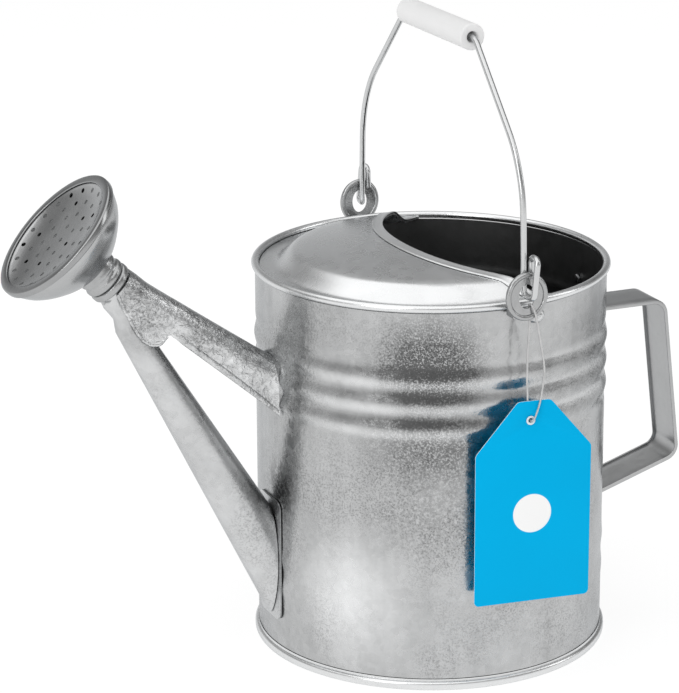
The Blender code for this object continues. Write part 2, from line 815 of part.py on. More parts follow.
clear_scene()
galvanised = material("galvanised_steel", (0.52, 0.53, 0.54), 0.42, 1.0)
dipped = material("hot_dipped_steel", (0.58, 0.59, 0.60), 0.34, 1.0)
satin = material("satin_steel", (0.55, 0.56, 0.56), 0.36, 1.0)
steel = material("steel_wire", (0.50, 0.50, 0.50), 0.30, 1.0)
plastic = material("white_plastic", (0.86, 0.87, 0.88), 0.35, 0.0)
card = material("blue_card", (0.0, 0.42, 0.80), 0.45, 0.0)
cord = material("grey_string", (0.60, 0.60, 0.60), 0.70, 0.0)
white = material("white_eyelet", (0.85, 0.86, 0.88), 0.45, 0.0)
cutter_finish = material("guide", (1, 0, 1), 0.5, 0.0)

tank = empty("tank_axis", (TANK_X, 0, 0))
inlet_cutter = make_tank(tank)
make_cover(tank)
make_spout(tank, inlet_cutter)
make_brace(tank)
rose_axis = empty("rose_axis", ROSE_CENTRE, tank, (0, ROSE_ANGLE - pi / 2, 0))
make_rose(rose_axis)
make_ear("ear_near", -1, tank)
make_ear("ear_far", 1, tank)
bail_axis = empty("bail_axis", (EAR_X, 0, EAR_Z), tank)
make_bail(bail_axis)
make_handle(tank)
make_tag(tank)
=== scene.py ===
import json
from math import cos, exp, hypot, pi, radians, sin, sqrt, tan

import bmesh
import bpy
from mathutils import Matrix, Vector


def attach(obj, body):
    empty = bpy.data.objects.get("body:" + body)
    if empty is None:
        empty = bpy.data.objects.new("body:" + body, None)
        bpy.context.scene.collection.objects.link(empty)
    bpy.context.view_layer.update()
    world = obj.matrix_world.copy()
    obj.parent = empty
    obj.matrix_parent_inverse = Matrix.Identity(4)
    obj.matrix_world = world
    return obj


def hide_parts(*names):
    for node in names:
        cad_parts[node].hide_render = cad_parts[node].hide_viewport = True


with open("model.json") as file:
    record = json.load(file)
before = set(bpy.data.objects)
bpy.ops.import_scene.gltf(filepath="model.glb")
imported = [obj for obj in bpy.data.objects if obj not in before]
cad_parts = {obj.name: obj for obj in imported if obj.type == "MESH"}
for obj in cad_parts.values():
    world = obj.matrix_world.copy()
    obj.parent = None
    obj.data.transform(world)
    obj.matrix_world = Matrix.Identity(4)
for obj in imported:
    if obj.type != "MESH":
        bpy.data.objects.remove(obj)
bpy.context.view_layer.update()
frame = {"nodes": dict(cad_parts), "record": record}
tankX = frame["record"]["mounts"][0]["pos_m"][0]  # the tank's axis, in metres
mm = 0.001
sheet = 0.9 * mm
print("frame loaded")

# camera and studio

studio = {
    "cameraAt": Vector((tankX - 0.73658, -1.57961, 0.72139)),
    "cameraRight": Vector((0.918573, -0.395226, -0.004499)),
    "cameraUp": Vector((0.121544, 0.271621, 0.954698)),
    "lens": 157.17,
    "floorTone": 0.22,
    "floorGlow": 0.84,
    "floorHalf": 6,
    # tone of the room from straight down to straight up
    "sky": ((0.0, 0.80), (0.50, 0.95), (0.60, 0.75), (0.70, 0.30), (0.78, 0.34), (0.86, 0.84), (0.96, 0.55)),
    # the room is darker towards the handle's side: X from and to, share from and to
    "skyDim": (0.30, 0.85, 1.0, 0.45),
    # name, place, aim, size and power of each lamp
    "lamps": (
        ("overhead", (-0.3, -0.2, 2.4), (0, 0, 0.1), (3.6, 3.6), 30),
        ("frontLeft", (-2.2, -1.6, 1.5), (0, 0, 0.15), (1.2, 1.8), 16),
        ("right", (2.4, -0.8, 1.4), (0, 0, 0.15), (0.8, 1.6), 8),
    ),
}


def makeCamera():
    camera = bpy.data.cameras.new("studioCamera")
    camera.lens = studio["lens"]
    camera.sensor_width = 36
    camera.clip_end = 50
    holder = bpy.data.objects.new("studioCamera", camera)
    right, up = studio["cameraRight"], studio["cameraUp"]
    turn = Matrix((right, up, right.cross(up))).transposed()
    holder.matrix_world = Matrix.Translation(studio["cameraAt"]) @ turn.to_4x4()
    bpy.context.scene.collection.objects.link(holder)
    bpy.context.scene.camera = holder


makeCamera()

# shader wiring


class Wire:
    # one value in a material's node tree, with ordinary arithmetic

    def __init__(self, look, out):
        self.look = look
        self.out = out

    def join(self, operation, first, second):
        node = self.look.put("ShaderNodeMath", {"operation": operation}, {0: first, 1: second})
        return Wire(self.look, node.outputs[0])

    def __add__(self, other):
        return self.join("ADD", self, other)

    def __radd__(self, other):
        return self.join("ADD", other, self)

    def __sub__(self, other):
        return self.join("SUBTRACT", self, other)

    def __rsub__(self, other):
        return self.join("SUBTRACT", other, self)

    def __mul__(self, other):
        return self.join("MULTIPLY", self, other)

    def __rmul__(self, other):
        return self.join("MULTIPLY", other, self)

    def atLeast(self, floor):
        return self.join("MAXIMUM", self, floor)


def setStops(ramp, stops):
    while len(ramp.elements) < len(stops):
        ramp.elements.new(0.5)
    for element, (position, tone) in zip(ramp.elements, stops):
        element.position = position
        element.color = (tone, tone, tone, 1)


class Look:
    # a material: its wiring, and short names for the patterns used here

    def __init__(self, name):
        self.material = bpy.data.materials.new(name)
        self.material.use_nodes = True
        self.tree = self.material.node_tree
        self.shader = self.tree.nodes["Principled BSDF"]
        coords = self.tree.nodes.new("ShaderNodeTexCoord")
        self.place = Wire(self, coords.outputs["Object"])

    def put(self, kind, settings, sockets):
        node = self.tree.nodes.new(kind)
        for key, value in settings.items():
            if key == "stops":
                setStops(node.color_ramp, value)
            else:
                setattr(node, key, value)
        for key, value in sockets.items():
            self.feed(node.inputs[key], value)
        return node

    def feed(self, socket, value):
        if isinstance(value, Wire):
            self.tree.links.new(value.out, socket)
        else:
            socket.default_value = value

    def stretched(self, scale):
        node = self.put("ShaderNodeMapping", {}, {"Vector": self.place, "Scale": scale})
        return Wire(self, node.outputs[0])

    def noise(self, size, detail=2, rough=0.5, stretch=(1, 1, 1), warp=0):
        # noise whose blotches are about size metres across
        node = self.put(
            "ShaderNodeTexNoise",
            {},
            {
                "Vector": self.stretched(stretch),
                "Scale": 0.5 / size,
                "Detail": detail,
                "Roughness": rough,
                "Distortion": warp,
            },
        )
        return Wire(self, node.outputs["Fac"])

    def cells(self, size, stretch=(1, 1, 1)):
        # flat crystal grains of about size metres, each with its own value
        node = self.put(
            "ShaderNodeTexVoronoi", {}, {"Vector": self.stretched(stretch), "Scale": 1 / size}
        )
        split = self.put("ShaderNodeSeparateColor", {}, {0: Wire(self, node.outputs["Color"])})
        return Wire(self, split.outputs[0])

    def ramp(self, value, *stops):
        node = self.put("ShaderNodeValToRGB", {"stops": stops}, {0: value})
        split = self.put("ShaderNodeSeparateColor", {}, {0: Wire(self, node.outputs["Color"])})
        return Wire(self, split.outputs[0])

    def patch(self, centre, reach):
        # 1 at the centre of an egg-shaped patch and 0 beyond its reach
        kind = "ShaderNodeVectorMath"
        away = self.put(kind, {"operation": "SUBTRACT"}, {0: self.place, 1: centre})
        scaled = self.put(kind, {"operation": "DIVIDE"}, {0: Wire(self, away.outputs[0]), 1: reach})
        far = self.put(kind, {"operation": "LENGTH"}, {0: Wire(self, scaled.outputs[0])})
        faded = self.put(
            "ShaderNodeMapRange",
            {"interpolation_type": "SMOOTHSTEP"},
            {
                "Value": Wire(self, far.outputs["Value"]),
                "From Min": 0.0,
                "From Max": 1.0,
                "To Min": 1.0,
                "To Max": 0.0,
            },
        )
        return Wire(self, faded.outputs[0])

    def tinted(self, value, colour):
        # the colour darkened or lightened by the value
        grey = self.put("ShaderNodeCombineColor", {}, {0: value, 1: value, 2: value})
        node = self.put(
            "ShaderNodeMix",
            {"data_type": "RGBA", "blend_type": "MULTIPLY"},
            {0: 1.0, 6: Wire(self, grey.outputs[0]), 7: (*colour, 1)},
        )
        return Wire(self, node.outputs[2])

    def relief(self, height, depth, strength=1.0):
        node = self.put(
            "ShaderNodeBump", {}, {"Height": height, "Distance": depth, "Strength": strength}
        )
        return Wire(self, node.outputs[0])

    def finish(self, **sockets):
        for key, value in sockets.items():
            self.feed(self.shader.inputs[key.replace("_", " ")], value)
        return self.material


zincTint = (0.985, 0.995, 1.0)
zincGlint = (0.72, 0.73, 0.74, 1)  # at grazing angles
darkestZinc = 0.11


def zinc(
    name, tone, rough, grain=None, clouds=None, streaks=None, grit=None, ripples=None, dents=None, patchesAndPaintedLight=()
):
    # zinc-coated steel: each setting is a dictionary of sizes in metres and strengths
    look = Look(name)
    value = tone
    gloss = rough
    height = 0.0
    if clouds:
        cloud = look.noise(clouds["size"], 4, 0.55, clouds.get("stretch", (1, 1, 1)))
        value = value + (cloud - 0.5) * clouds["depth"]
        gloss = gloss + (cloud - 0.5) * clouds.get("gloss", 0.1)
    if streaks:
        run = look.noise(streaks["size"], 3, 0.6, (1, 1, 0.06))
        value = value + (run - 0.5) * streaks["depth"]
        gloss = gloss + (run - 0.5) * 0.08
    if grain:
        crystal = look.cells(grain["size"], grain.get("stretch", (1, 1, 1)))
        value = value + (crystal - 0.5) * grain["depth"]
        gloss = gloss + (crystal - 0.5) * grain.get("gloss", 0.1)
        height = height + crystal * grain.get("lift", 0.0)
    # patches of coating tone, and painted highlights and painted reflections, added to the colour
    for place in patchesAndPaintedLight:
        spot = look.patch(place["at"], place["reach"])
        if place["speckle"]:
            speck = look.ramp(look.noise(place["speckle"], 3, 0.7), (0.36, 0), (0.54, 1))
            spot = spot * speck
        value = value + spot * place["depth"]
    if grit:
        speck = look.ramp(look.noise(grit["size"], 3, 0.65), (grit["from"], 0), (grit["to"], 1))
        where = look.ramp(look.noise(grit["spread"], 2, 0.5), (0.45, 0), (0.62, 1))
        value = value - speck * where * grit["depth"]
        gloss = gloss + speck * where * 0.15
    if ripples:
        wave = look.noise(ripples["size"], 3, 0.6, ripples.get("stretch", (1, 1, 1)), ripples.get("warp", 0))
        height = height + wave * ripples["lift"]
        value = value + (wave - 0.5) * ripples.get("depth", 0)
    if dents:
        height = height + look.noise(dents["size"], 1, 0.4, dents.get("stretch", (1, 1, 1))) * dents["lift"]
    if isinstance(value, Wire):
        value = value.atLeast(darkestZinc)
    sockets = {
        "Base_Color": look.tinted(value, zincTint),
        "Metallic": 1.0,
        "Roughness": gloss,
        "Specular_Tint": zincGlint,
    }
    if isinstance(height, Wire):
        sockets["Normal"] = look.relief(height, mm)
    return look.finish(**sockets)


# studio lights and floor


def makeStudio():
    world = bpy.data.worlds.new("studioLight")
    bpy.context.scene.world = world
    world.use_nodes = True
    tree = world.node_tree
    background = tree.nodes["Background"]
    coords = tree.nodes.new("ShaderNodeTexCoord")
    split = tree.nodes.new("ShaderNodeSeparateXYZ")
    tree.links.new(coords.outputs["Generated"], split.inputs[0])
    ramp = tree.nodes.new("ShaderNodeValToRGB")
    setStops(ramp.color_ramp, studio["sky"])
    scale = tree.nodes.new("ShaderNodeMath")
    scale.operation = "MULTIPLY_ADD"
    scale.inputs[1].default_value = 0.5
    scale.inputs[2].default_value = 0.5
    tree.links.new(split.outputs["Z"], scale.inputs[0])
    tree.links.new(scale.outputs[0], ramp.inputs[0])
    rays = tree.nodes.new("ShaderNodeLightPath")
    mix = tree.nodes.new("ShaderNodeMix")
    mix.data_type = "RGBA"
    tree.links.new(rays.outputs["Is Camera Ray"], mix.inputs[0])
    dim = tree.nodes.new("ShaderNodeMapRange")
    for socket, value in zip(("From Min", "From Max", "To Min", "To Max"), studio["skyDim"]):
        dim.inputs[socket].default_value = value
    tree.links.new(split.outputs["X"], dim.inputs["Value"])
    shade = tree.nodes.new("ShaderNodeVectorMath")
    shade.operation = "SCALE"
    tree.links.new(ramp.outputs[0], shade.inputs[0])
    tree.links.new(dim.outputs[0], shade.inputs["Scale"])
    tree.links.new(shade.outputs[0], mix.inputs[6])
    mix.inputs[7].default_value = (1, 1, 1, 1)
    tree.links.new(mix.outputs[2], background.inputs["Color"])
    background.inputs["Strength"].default_value = 1.0

    bm = bmesh.new()
    bmesh.ops.create_grid(bm, x_segments=1, y_segments=1, size=studio["floorHalf"])
    mesh = bpy.data.meshes.new("floor")
    bm.to_mesh(mesh)
    bm.free()
    floor = bpy.data.objects.new("floor", mesh)
    bpy.context.scene.collection.objects.link(floor)
    look = Look("palePaper")
    paper = studio["floorTone"]
    look.finish(
        Base_Color=(paper, paper, paper, 1),
        Roughness=0.9,
        Specular_IOR_Level=0.0,
        Emission_Color=(1, 1, 1, 1),
        Emission_Strength=studio["floorGlow"],
    )
    mesh.materials.append(look.material)

    for name, at, aim, size, power in studio["lamps"]:
        lamp = bpy.data.lights.new(name, "AREA")
        lamp.shape = "RECTANGLE"
        lamp.size, lamp.size_y = size
        lamp.energy = power
        holder = bpy.data.objects.new(name, lamp)
        holder.location = at
        holder.rotation_euler = (Vector(aim) - Vector(at)).to_track_quat("-Z", "Y").to_euler()
        bpy.context.scene.collection.objects.link(holder)
    bpy.context.scene.view_settings.view_transform = "Standard"


makeStudio()
print("camera, floor and lights placed")

# shared shaping


def ready(name, bm, materials, body, replaced=(), smooth=35, merge=1e-7):
    # turns a bmesh into a finished piece that rides on a body
    bmesh.ops.remove_doubles(bm, verts=bm.verts, dist=merge)
    bmesh.ops.recalc_face_normals(bm, faces=bm.faces)
    mesh = bpy.data.meshes.new(name)
    bm.to_mesh(mesh)
    bm.free()
    for material in materials:
        mesh.materials.append(material)
    mesh.shade_smooth()
    mesh.set_sharp_from_angle(angle=radians(smooth))
    piece = bpy.data.objects.new(name, mesh)
    bpy.context.scene.collection.objects.link(piece)
    if body:
        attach(piece, body)
    if replaced:
        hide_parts(*replaced)
    return piece


def settle(piece, smooth=35):
    # applies the piece's modifiers to its mesh
    graph = bpy.context.evaluated_depsgraph_get()
    finished = bpy.data.meshes.new_from_object(piece.evaluated_get(graph))
    piece.modifiers.clear()
    piece.data = finished
    finished.shade_smooth()
    finished.set_sharp_from_angle(angle=radians(smooth))


def carve(piece, cutters, smooth=35):
    # cuts the shapes out of the piece for good
    bpy.context.view_layer.update()
    for bm in cutters:
        cutter = ready("cutter", bm, (), None)
        made = piece.modifiers.new("cut", "BOOLEAN")
        made.object = cutter
        made.solver = "EXACT"
        settle(piece, smooth)
        bpy.data.objects.remove(cutter)


def turned(profile, steps, closed=True):
    # a (radius, z) outline turned round Z
    bm = bmesh.new()
    verts = [bm.verts.new((radius, 0, z)) for radius, z in profile]
    pairs = list(zip(verts, verts[1:]))
    if closed:
        pairs.append((verts[-1], verts[0]))
    edges = [bm.edges.new(pair) for pair in pairs]
    bmesh.ops.spin(
        bm,
        geom=verts + edges,
        cent=(0, 0, 0),
        axis=(0, 0, 1),
        angle=2 * pi,
        steps=steps,
        use_merge=True,
    )
    return bm


def ringed(points):
    # the same outline in metres
    return [(radius * mm, z * mm) for radius, z in points]


def moved(bm, matrix):
    bmesh.ops.transform(bm, matrix=matrix, verts=bm.verts)
    return bm


def spun(name, outline, steps, place, material, body, node, smooth=35, closed=True):
    # a piece turned from an outline in millimetres
    bm = moved(turned(ringed(outline), steps, closed), place)
    return ready(name, bm, (material,), body, [node], smooth)


def lofted(sections, capped=True):
    # closed outlines bridged one to the next
    bm = bmesh.new()
    rings = []
    for section in sections:
        verts = [bm.verts.new(point) for point in section]
        rings.append([bm.edges.new(pair) for pair in zip(verts, verts[1:] + verts[:1])])
    for lower, upper in zip(rings, rings[1:]):
        bmesh.ops.bridge_loops(bm, edges=lower + upper)
    if capped:
        bmesh.ops.holes_fill(bm, edges=rings[0] + rings[-1], sides=0)
    return bm


def rod(start, end, radius, sides=24):
    # a plain round bar between two points, used as a cutter
    start, end = Vector(start), Vector(end)
    bm = bmesh.new()
    bmesh.ops.create_cone(
        bm, cap_ends=True, segments=sides, radius1=radius, radius2=radius, depth=(end - start).length
    )
    turn = (end - start).to_track_quat("Z", "Y").to_matrix().to_4x4()
    return moved(bm, Matrix.Translation((start + end) / 2) @ turn)


def drum(radius, middle):
    # a wide upright cylinder about the tank's axis, used as a cutter
    bm = bmesh.new()
    bmesh.ops.create_cone(bm, cap_ends=True, segments=192, radius1=radius, radius2=radius, depth=0.3)
    return moved(bm, onTank @ Matrix.Translation((0, 0, middle)))


def eased(points, per):
    # points on a smooth curve through the given ones
    route = [Vector(point) for point in points]
    ends = [2 * route[0] - route[1]] + route + [2 * route[-1] - route[-2]]
    curve = []
    for a, b, c, d in zip(ends, ends[1:], ends[2:], ends[3:]):
        for index in range(per):
            t = index / per
            curve.append(
                0.5 * (2 * b + (c - a) * t + (2 * a - 5 * b + 4 * c - d) * t**2)
                + 0.5 * (3 * b - 3 * c + d - a) * t**3
            )
    return curve + [route[-1]]


def filleted(corners, radii, step=radians(6)):
    # points along a bent line whose inner corners are rounded
    points = [Vector(corners[0])]
    for before, corner, after, radius in zip(corners, corners[1:], corners[2:], radii):
        corner = Vector(corner)
        back = (Vector(before) - corner).normalized()
        ahead = (Vector(after) - corner).normalized()
        turn = pi - back.angle(ahead)
        centre = corner + (back + ahead).normalized() * radius / cos(turn / 2)
        start = corner + back * radius * tan(turn / 2) - centre
        axis = start.cross(corner + ahead * radius * tan(turn / 2) - centre).normalized()
        count = max(2, round(turn / step))
        for index in range(count + 1):
            points.append(centre + Matrix.Rotation(turn * index / count, 3, axis) @ start)
    points.append(Vector(corners[-1]))
    return points


def bar(name, points, radius, material, body, replaced, round=6):
    # a round wire or cord along the points
    curve = bpy.data.curves.new(name, "CURVE")
    curve.dimensions = "3D"
    curve.bevel_depth = radius
    curve.bevel_resolution = round
    curve.use_fill_caps = True
    spline = curve.splines.new("POLY")
    spline.points.add(len(points) - 1)
    for slotPoint, point in zip(spline.points, points):
        slotPoint.co = (*point, 1)
    curve.materials.append(material)
    piece = bpy.data.objects.new(name, curve)
    bpy.context.scene.collection.objects.link(piece)
    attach(piece, body)
    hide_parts(*replaced)
    return piece


onTank = Matrix.Translation((tankX, 0, 0))

# the hang tag's string

string = {
    "radius": 0.6 * mm,
    "route": (
        (7.5, -115.3, 169.0), (7.0, -116.3, 181.6), (6.4, -116.6, 190.7), (7.0, -116.0, 208.0),
        (8.2, -115.2, 224.0), (7.6, -115.0, 232.0), (7.2, -117.2, 235.7), (7.9, -119.6, 234.4),
        (9.3, -120.3, 230.0), (12.2, -119.6, 218.0), (16.3, -118.2, 198.6), (16.0, -118.3, 190.0),
        (13.9, -119.0, 178.0), (10.6, -119.9, 169.5), (9.0, -119.0, 166.6), (8.7, -117.1, 166.3),
        (8.8, -115.4, 166.4), (9.4, -114.5, 167.4),
    ),
}
stringLook = Look("silverString")
twist = stringLook.noise(0.9 * mm, 2, 0.5, (1, 1, 0.35))
stringLook.finish(
    Base_Color=stringLook.tinted(0.55 + (twist - 0.5) * 0.3, (1, 1, 1)),
    Metallic=0.85,
    Roughness=0.35,
    Normal=stringLook.relief(twist, 0.3 * mm),
)
stringPath = [onTank @ (Vector(point) * mm) for point in string["route"]]
stringPath = eased(stringPath, 8)
stringLength = sum((b - a).length for a, b in zip(stringPath, stringPath[1:]))
stringPiece = bar(
    "tagString", stringPath, string["radius"], stringLook.material, "tag", ["tag_string"]
)
print("string laid", round(stringLength, 4))

# finishes


def toneAndLightPatch(x, y, z, reach, depth, speckle=0):
    # a lighter or darker patch, placed from the tank's axis; used both for mottled patches in the coating and
    # for painted highlights and painted reflections
    return {"at": (tankX + x, y, z), "reach": reach, "depth": depth, "speckle": speckle}


# painted reflections and painted shade: light and dark lines where the pressed ribs catch the room, by place
# and height
ribPaintedReflections = [
    toneAndLightPatch(x, -0.09, rib + lift, (wide, 0.13, tall), depth)
    for rib in (0.1897, 0.1747, 0.1597)
    for x, wide, lift, tall, depth in (
        (-0.055, 0.105, 0.0046, 0.0060, -0.26), (-0.055, 0.105, -0.0026, 0.0050, 0.22),
        (0.060, 0.085, 0.0064, 0.0055, 0.14), (0.060, 0.085, 0.0008, 0.0050, -0.10),
    )
]
bodyZinc = zinc(
    "bodyZinc",
    0.50,
    0.24,
    grain={"size": 4 * mm, "depth": 0.05, "gloss": 0.10, "lift": 0.02},
    clouds={"size": 22 * mm, "depth": 0.30, "gloss": 0.10, "stretch": (1, 1, 0.6)},
    grit={"size": 0.55 * mm, "from": 0.48, "to": 0.60, "spread": 30 * mm, "depth": 0.16},
    ripples={"size": 2.2 * mm, "lift": 0.22, "depth": 0.08},
    dents={"size": 30 * mm, "lift": 1.2},
    streaks={"size": 7 * mm, "depth": 0.14},
    patchesAndPaintedLight=(
        *ribPaintedReflections,
        toneAndLightPatch(-0.104, -0.014, 0.106, (0.020, 0.022, 0.026), -0.38, 1.5 * mm),
        toneAndLightPatch(-0.043, -0.096, 0.199, (0.046, 0.046, 0.044), -0.52, 0.5 * mm),
        toneAndLightPatch(-0.040, -0.097, 0.148, (0.070, 0.050, 0.034), -0.34, 0.6 * mm),
        toneAndLightPatch(-0.040, -0.097, 0.110, (0.070, 0.050, 0.045), -0.16, 1.0 * mm),
        # painted highlight: a lighter patch low on the front left of the wall
        toneAndLightPatch(-0.080, -0.066, 0.050, (0.050, 0.045, 0.060), 0.28),
        toneAndLightPatch(-0.098, -0.035, 0.210, (0.030, 0.040, 0.035), -0.12),
        toneAndLightPatch(0.070, -0.078, 0.205, (0.060, 0.050, 0.050), -0.22),
        toneAndLightPatch(0.103, -0.020, 0.120, (0.035, 0.055, 0.140), -0.22),
    ),
)
# painted shade: a much darker copy of the zinc for the inside of the wall, standing in for the shade inside
# the tank
innerZinc = zinc(
    "innerZinc",
    0.19,
    0.42,
    grain={"size": 5 * mm, "depth": 0.01, "gloss": 0.03},
    clouds={"size": 30 * mm, "depth": 0.04},
    ripples={"size": 3 * mm, "lift": 0.1},
)
dippedZinc = zinc(
    "dippedZinc",
    0.60,
    0.22,
    grain={"size": 3.5 * mm, "depth": 0.10, "gloss": 0.10, "lift": 0.05},
    clouds={"size": 10 * mm, "depth": 0.55, "gloss": 0.12},
    grit={"size": 0.8 * mm, "from": 0.46, "to": 0.60, "spread": 12 * mm, "depth": 0.26},
    ripples={"size": 2.0 * mm, "lift": 1.1, "depth": 0.40, "warp": 0.6},
    dents={"size": 11 * mm, "lift": 2.2},
)
spoutZinc = zinc(
    "spoutZinc",
    0.60,
    0.30,
    grain={"size": 4 * mm, "depth": 0.05, "gloss": 0.08, "lift": 0.03},
    clouds={"size": 11 * mm, "depth": 0.26, "gloss": 0.10},
    grit={"size": 0.6 * mm, "from": 0.48, "to": 0.62, "spread": 18 * mm, "depth": 0.14},
    ripples={"size": 2.0 * mm, "lift": 0.25, "depth": 0.08},
    dents={"size": 16 * mm, "lift": 1.0},
    patchesAndPaintedLight=(
        toneAndLightPatch(-0.112, -0.012, 0.104, (0.022, 0.018, 0.018), -0.22, 1.5 * mm),
        toneAndLightPatch(-0.192, -0.010, 0.212, (0.024, 0.020, 0.024), -0.16),
    ),
)
satinZinc = zinc(
    "satinZinc",
    0.76,
    0.28,
    grain={"size": 6 * mm, "depth": 0.02, "gloss": 0.04},
    clouds={"size": 22 * mm, "depth": 0.16, "gloss": 0.10},
    ripples={"size": 1.2 * mm, "lift": 0.05, "depth": 0.02},
    dents={"size": 22 * mm, "lift": 0.5},
)
hemZinc = zinc(
    "hemZinc",
    0.80,
    0.34,
    clouds={"size": 14 * mm, "depth": 0.05},
    ripples={"size": 1.5 * mm, "lift": 0.08},
)
roseZinc = zinc(
    "roseZinc",
    0.46,
    0.22,
    clouds={"size": 9 * mm, "depth": 0.16, "gloss": 0.08},
    ripples={"size": 1.2 * mm, "lift": 0.06, "depth": 0.03},
    dents={"size": 15 * mm, "lift": 0.4},
)
ringZinc = zinc(
    "ringZinc",
    0.36,
    0.20,
    clouds={"size": 10 * mm, "depth": 0.08, "gloss": 0.06},
    ripples={"size": 1.0 * mm, "lift": 0.05, "depth": 0.03},
)
fittingZinc = zinc(
    "fittingZinc",
    0.42,
    0.26,
    clouds={"size": 8 * mm, "depth": 0.14, "gloss": 0.08},
    ripples={"size": 2.0 * mm, "lift": 0.4, "depth": 0.06},
)
strapZinc = zinc(
    "strapZinc",
    0.46,
    0.32,
    grain={"size": 5 * mm, "depth": 0.03, "gloss": 0.05},
    clouds={"size": 15 * mm, "depth": 0.10, "gloss": 0.08},
    ripples={"size": 1.5 * mm, "lift": 0.08, "depth": 0.03},
    dents={"size": 18 * mm, "lift": 0.6},
)
fillZinc = zinc(
    "fillZinc",
    0.30,
    0.42,
    clouds={"size": 9 * mm, "depth": 0.22, "gloss": 0.1},
    ripples={"size": 1.0 * mm, "lift": 0.5},
)
brightWire = zinc(
    "brightWire",
    0.62,
    0.22,
    clouds={"size": 7 * mm, "depth": 0.10, "gloss": 0.08},
    ripples={"size": 1.2 * mm, "lift": 0.08},
)

# tank: wall, seam, bottom and rim

tank = {
    "radius": 105.2,
    "top": 230.1,
    "bottom": 6.8,
    "steps": 180,
    # height, rise and half width of each pressed line, all in millimetres
    "lines": (
        (189.7, 0.85, 3.3), (174.7, 0.85, 3.3), (159.7, 0.85, 3.3), (197.4, -0.55, 2.6),
        (182.2, -0.60, 2.6), (167.2, -0.60, 2.6), (152.4, -0.40, 2.8), (63.0, 0.42, 4.5),
        (43.0, 0.42, 4.5), (53.0, -0.25, 4.5),
    ),
}


def wallRadius(height):
    radius = tank["radius"]
    for centre, rise, half in tank["lines"]:
        radius += rise * exp(-(((height - centre) / half) ** 2))
    return radius


def wallHeights():
    heights = [tank["bottom"], 20, 30]
    heights += [35 + step * 1.5 for step in range(27)]
    heights += [85, 105, 125, 140]
    heights += [145 + step * 1.0 for step in range(61)]
    return heights + [212, 221, tank["top"]]


spout = {
    "start": Vector((-124.85, 0, 94.73)),
    "angle": radians(60.8),
    "radius": 15.17,
    "taper": 0.0518,
    "halfWidth": 14.0,
    "sides": 64,
    "clear": 0.107,  # the tube ends this far from the tank's axis, in metres
    # distances along the axis, then the bent neck's rings: centre, tilt and radius
    "rings": (-90, -60, -40, -30, -20, -10, 0, 10, 20, 25, 35, 50, 65, 80, 95, 110, 125, 138),
    "neck": (
        (Vector((-193.6, 0, 223.9)), radians(58.5), 8.0),
        (Vector((-196.6, 0, 228.4)), radians(55), 8.25),
        (Vector((-199.3, 0, 232.5)), radians(51), 8.7),
        (Vector((-200.2, 0, 236.0)), radians(48), 9.4),
    ),
    "flange": {"half": 15.8, "low": 23.0, "high": 99.0, "corner": 6.0, "radii": (106.7, 105.8)},
}
along = Vector((-cos(spout["angle"]), 0, sin(spout["angle"])))
across = Vector((sin(spout["angle"]), 0, cos(spout["angle"])))


def spoutRing(distance, shrink=0.0):
    radius = spout["radius"] - spout["taper"] * distance
    wide = min(radius, spout["halfWidth"]) - shrink
    centre = spout["start"] + along * distance
    ring = []
    for index in range(spout["sides"]):
        a = 2 * pi * index / spout["sides"]
        ring.append((centre + across * (radius - shrink) * cos(a) + Vector((0, wide * sin(a), 0))) * mm)
    return ring


def spoutBore():
    # the hole that the water takes out of the tank
    return moved(lofted([spoutRing(-90, 3), spoutRing(0, 3)]), onTank)


rivetSpots = [(side * 8.0, z) for z in (57.5, 206.5) for side in (-1, 1)]


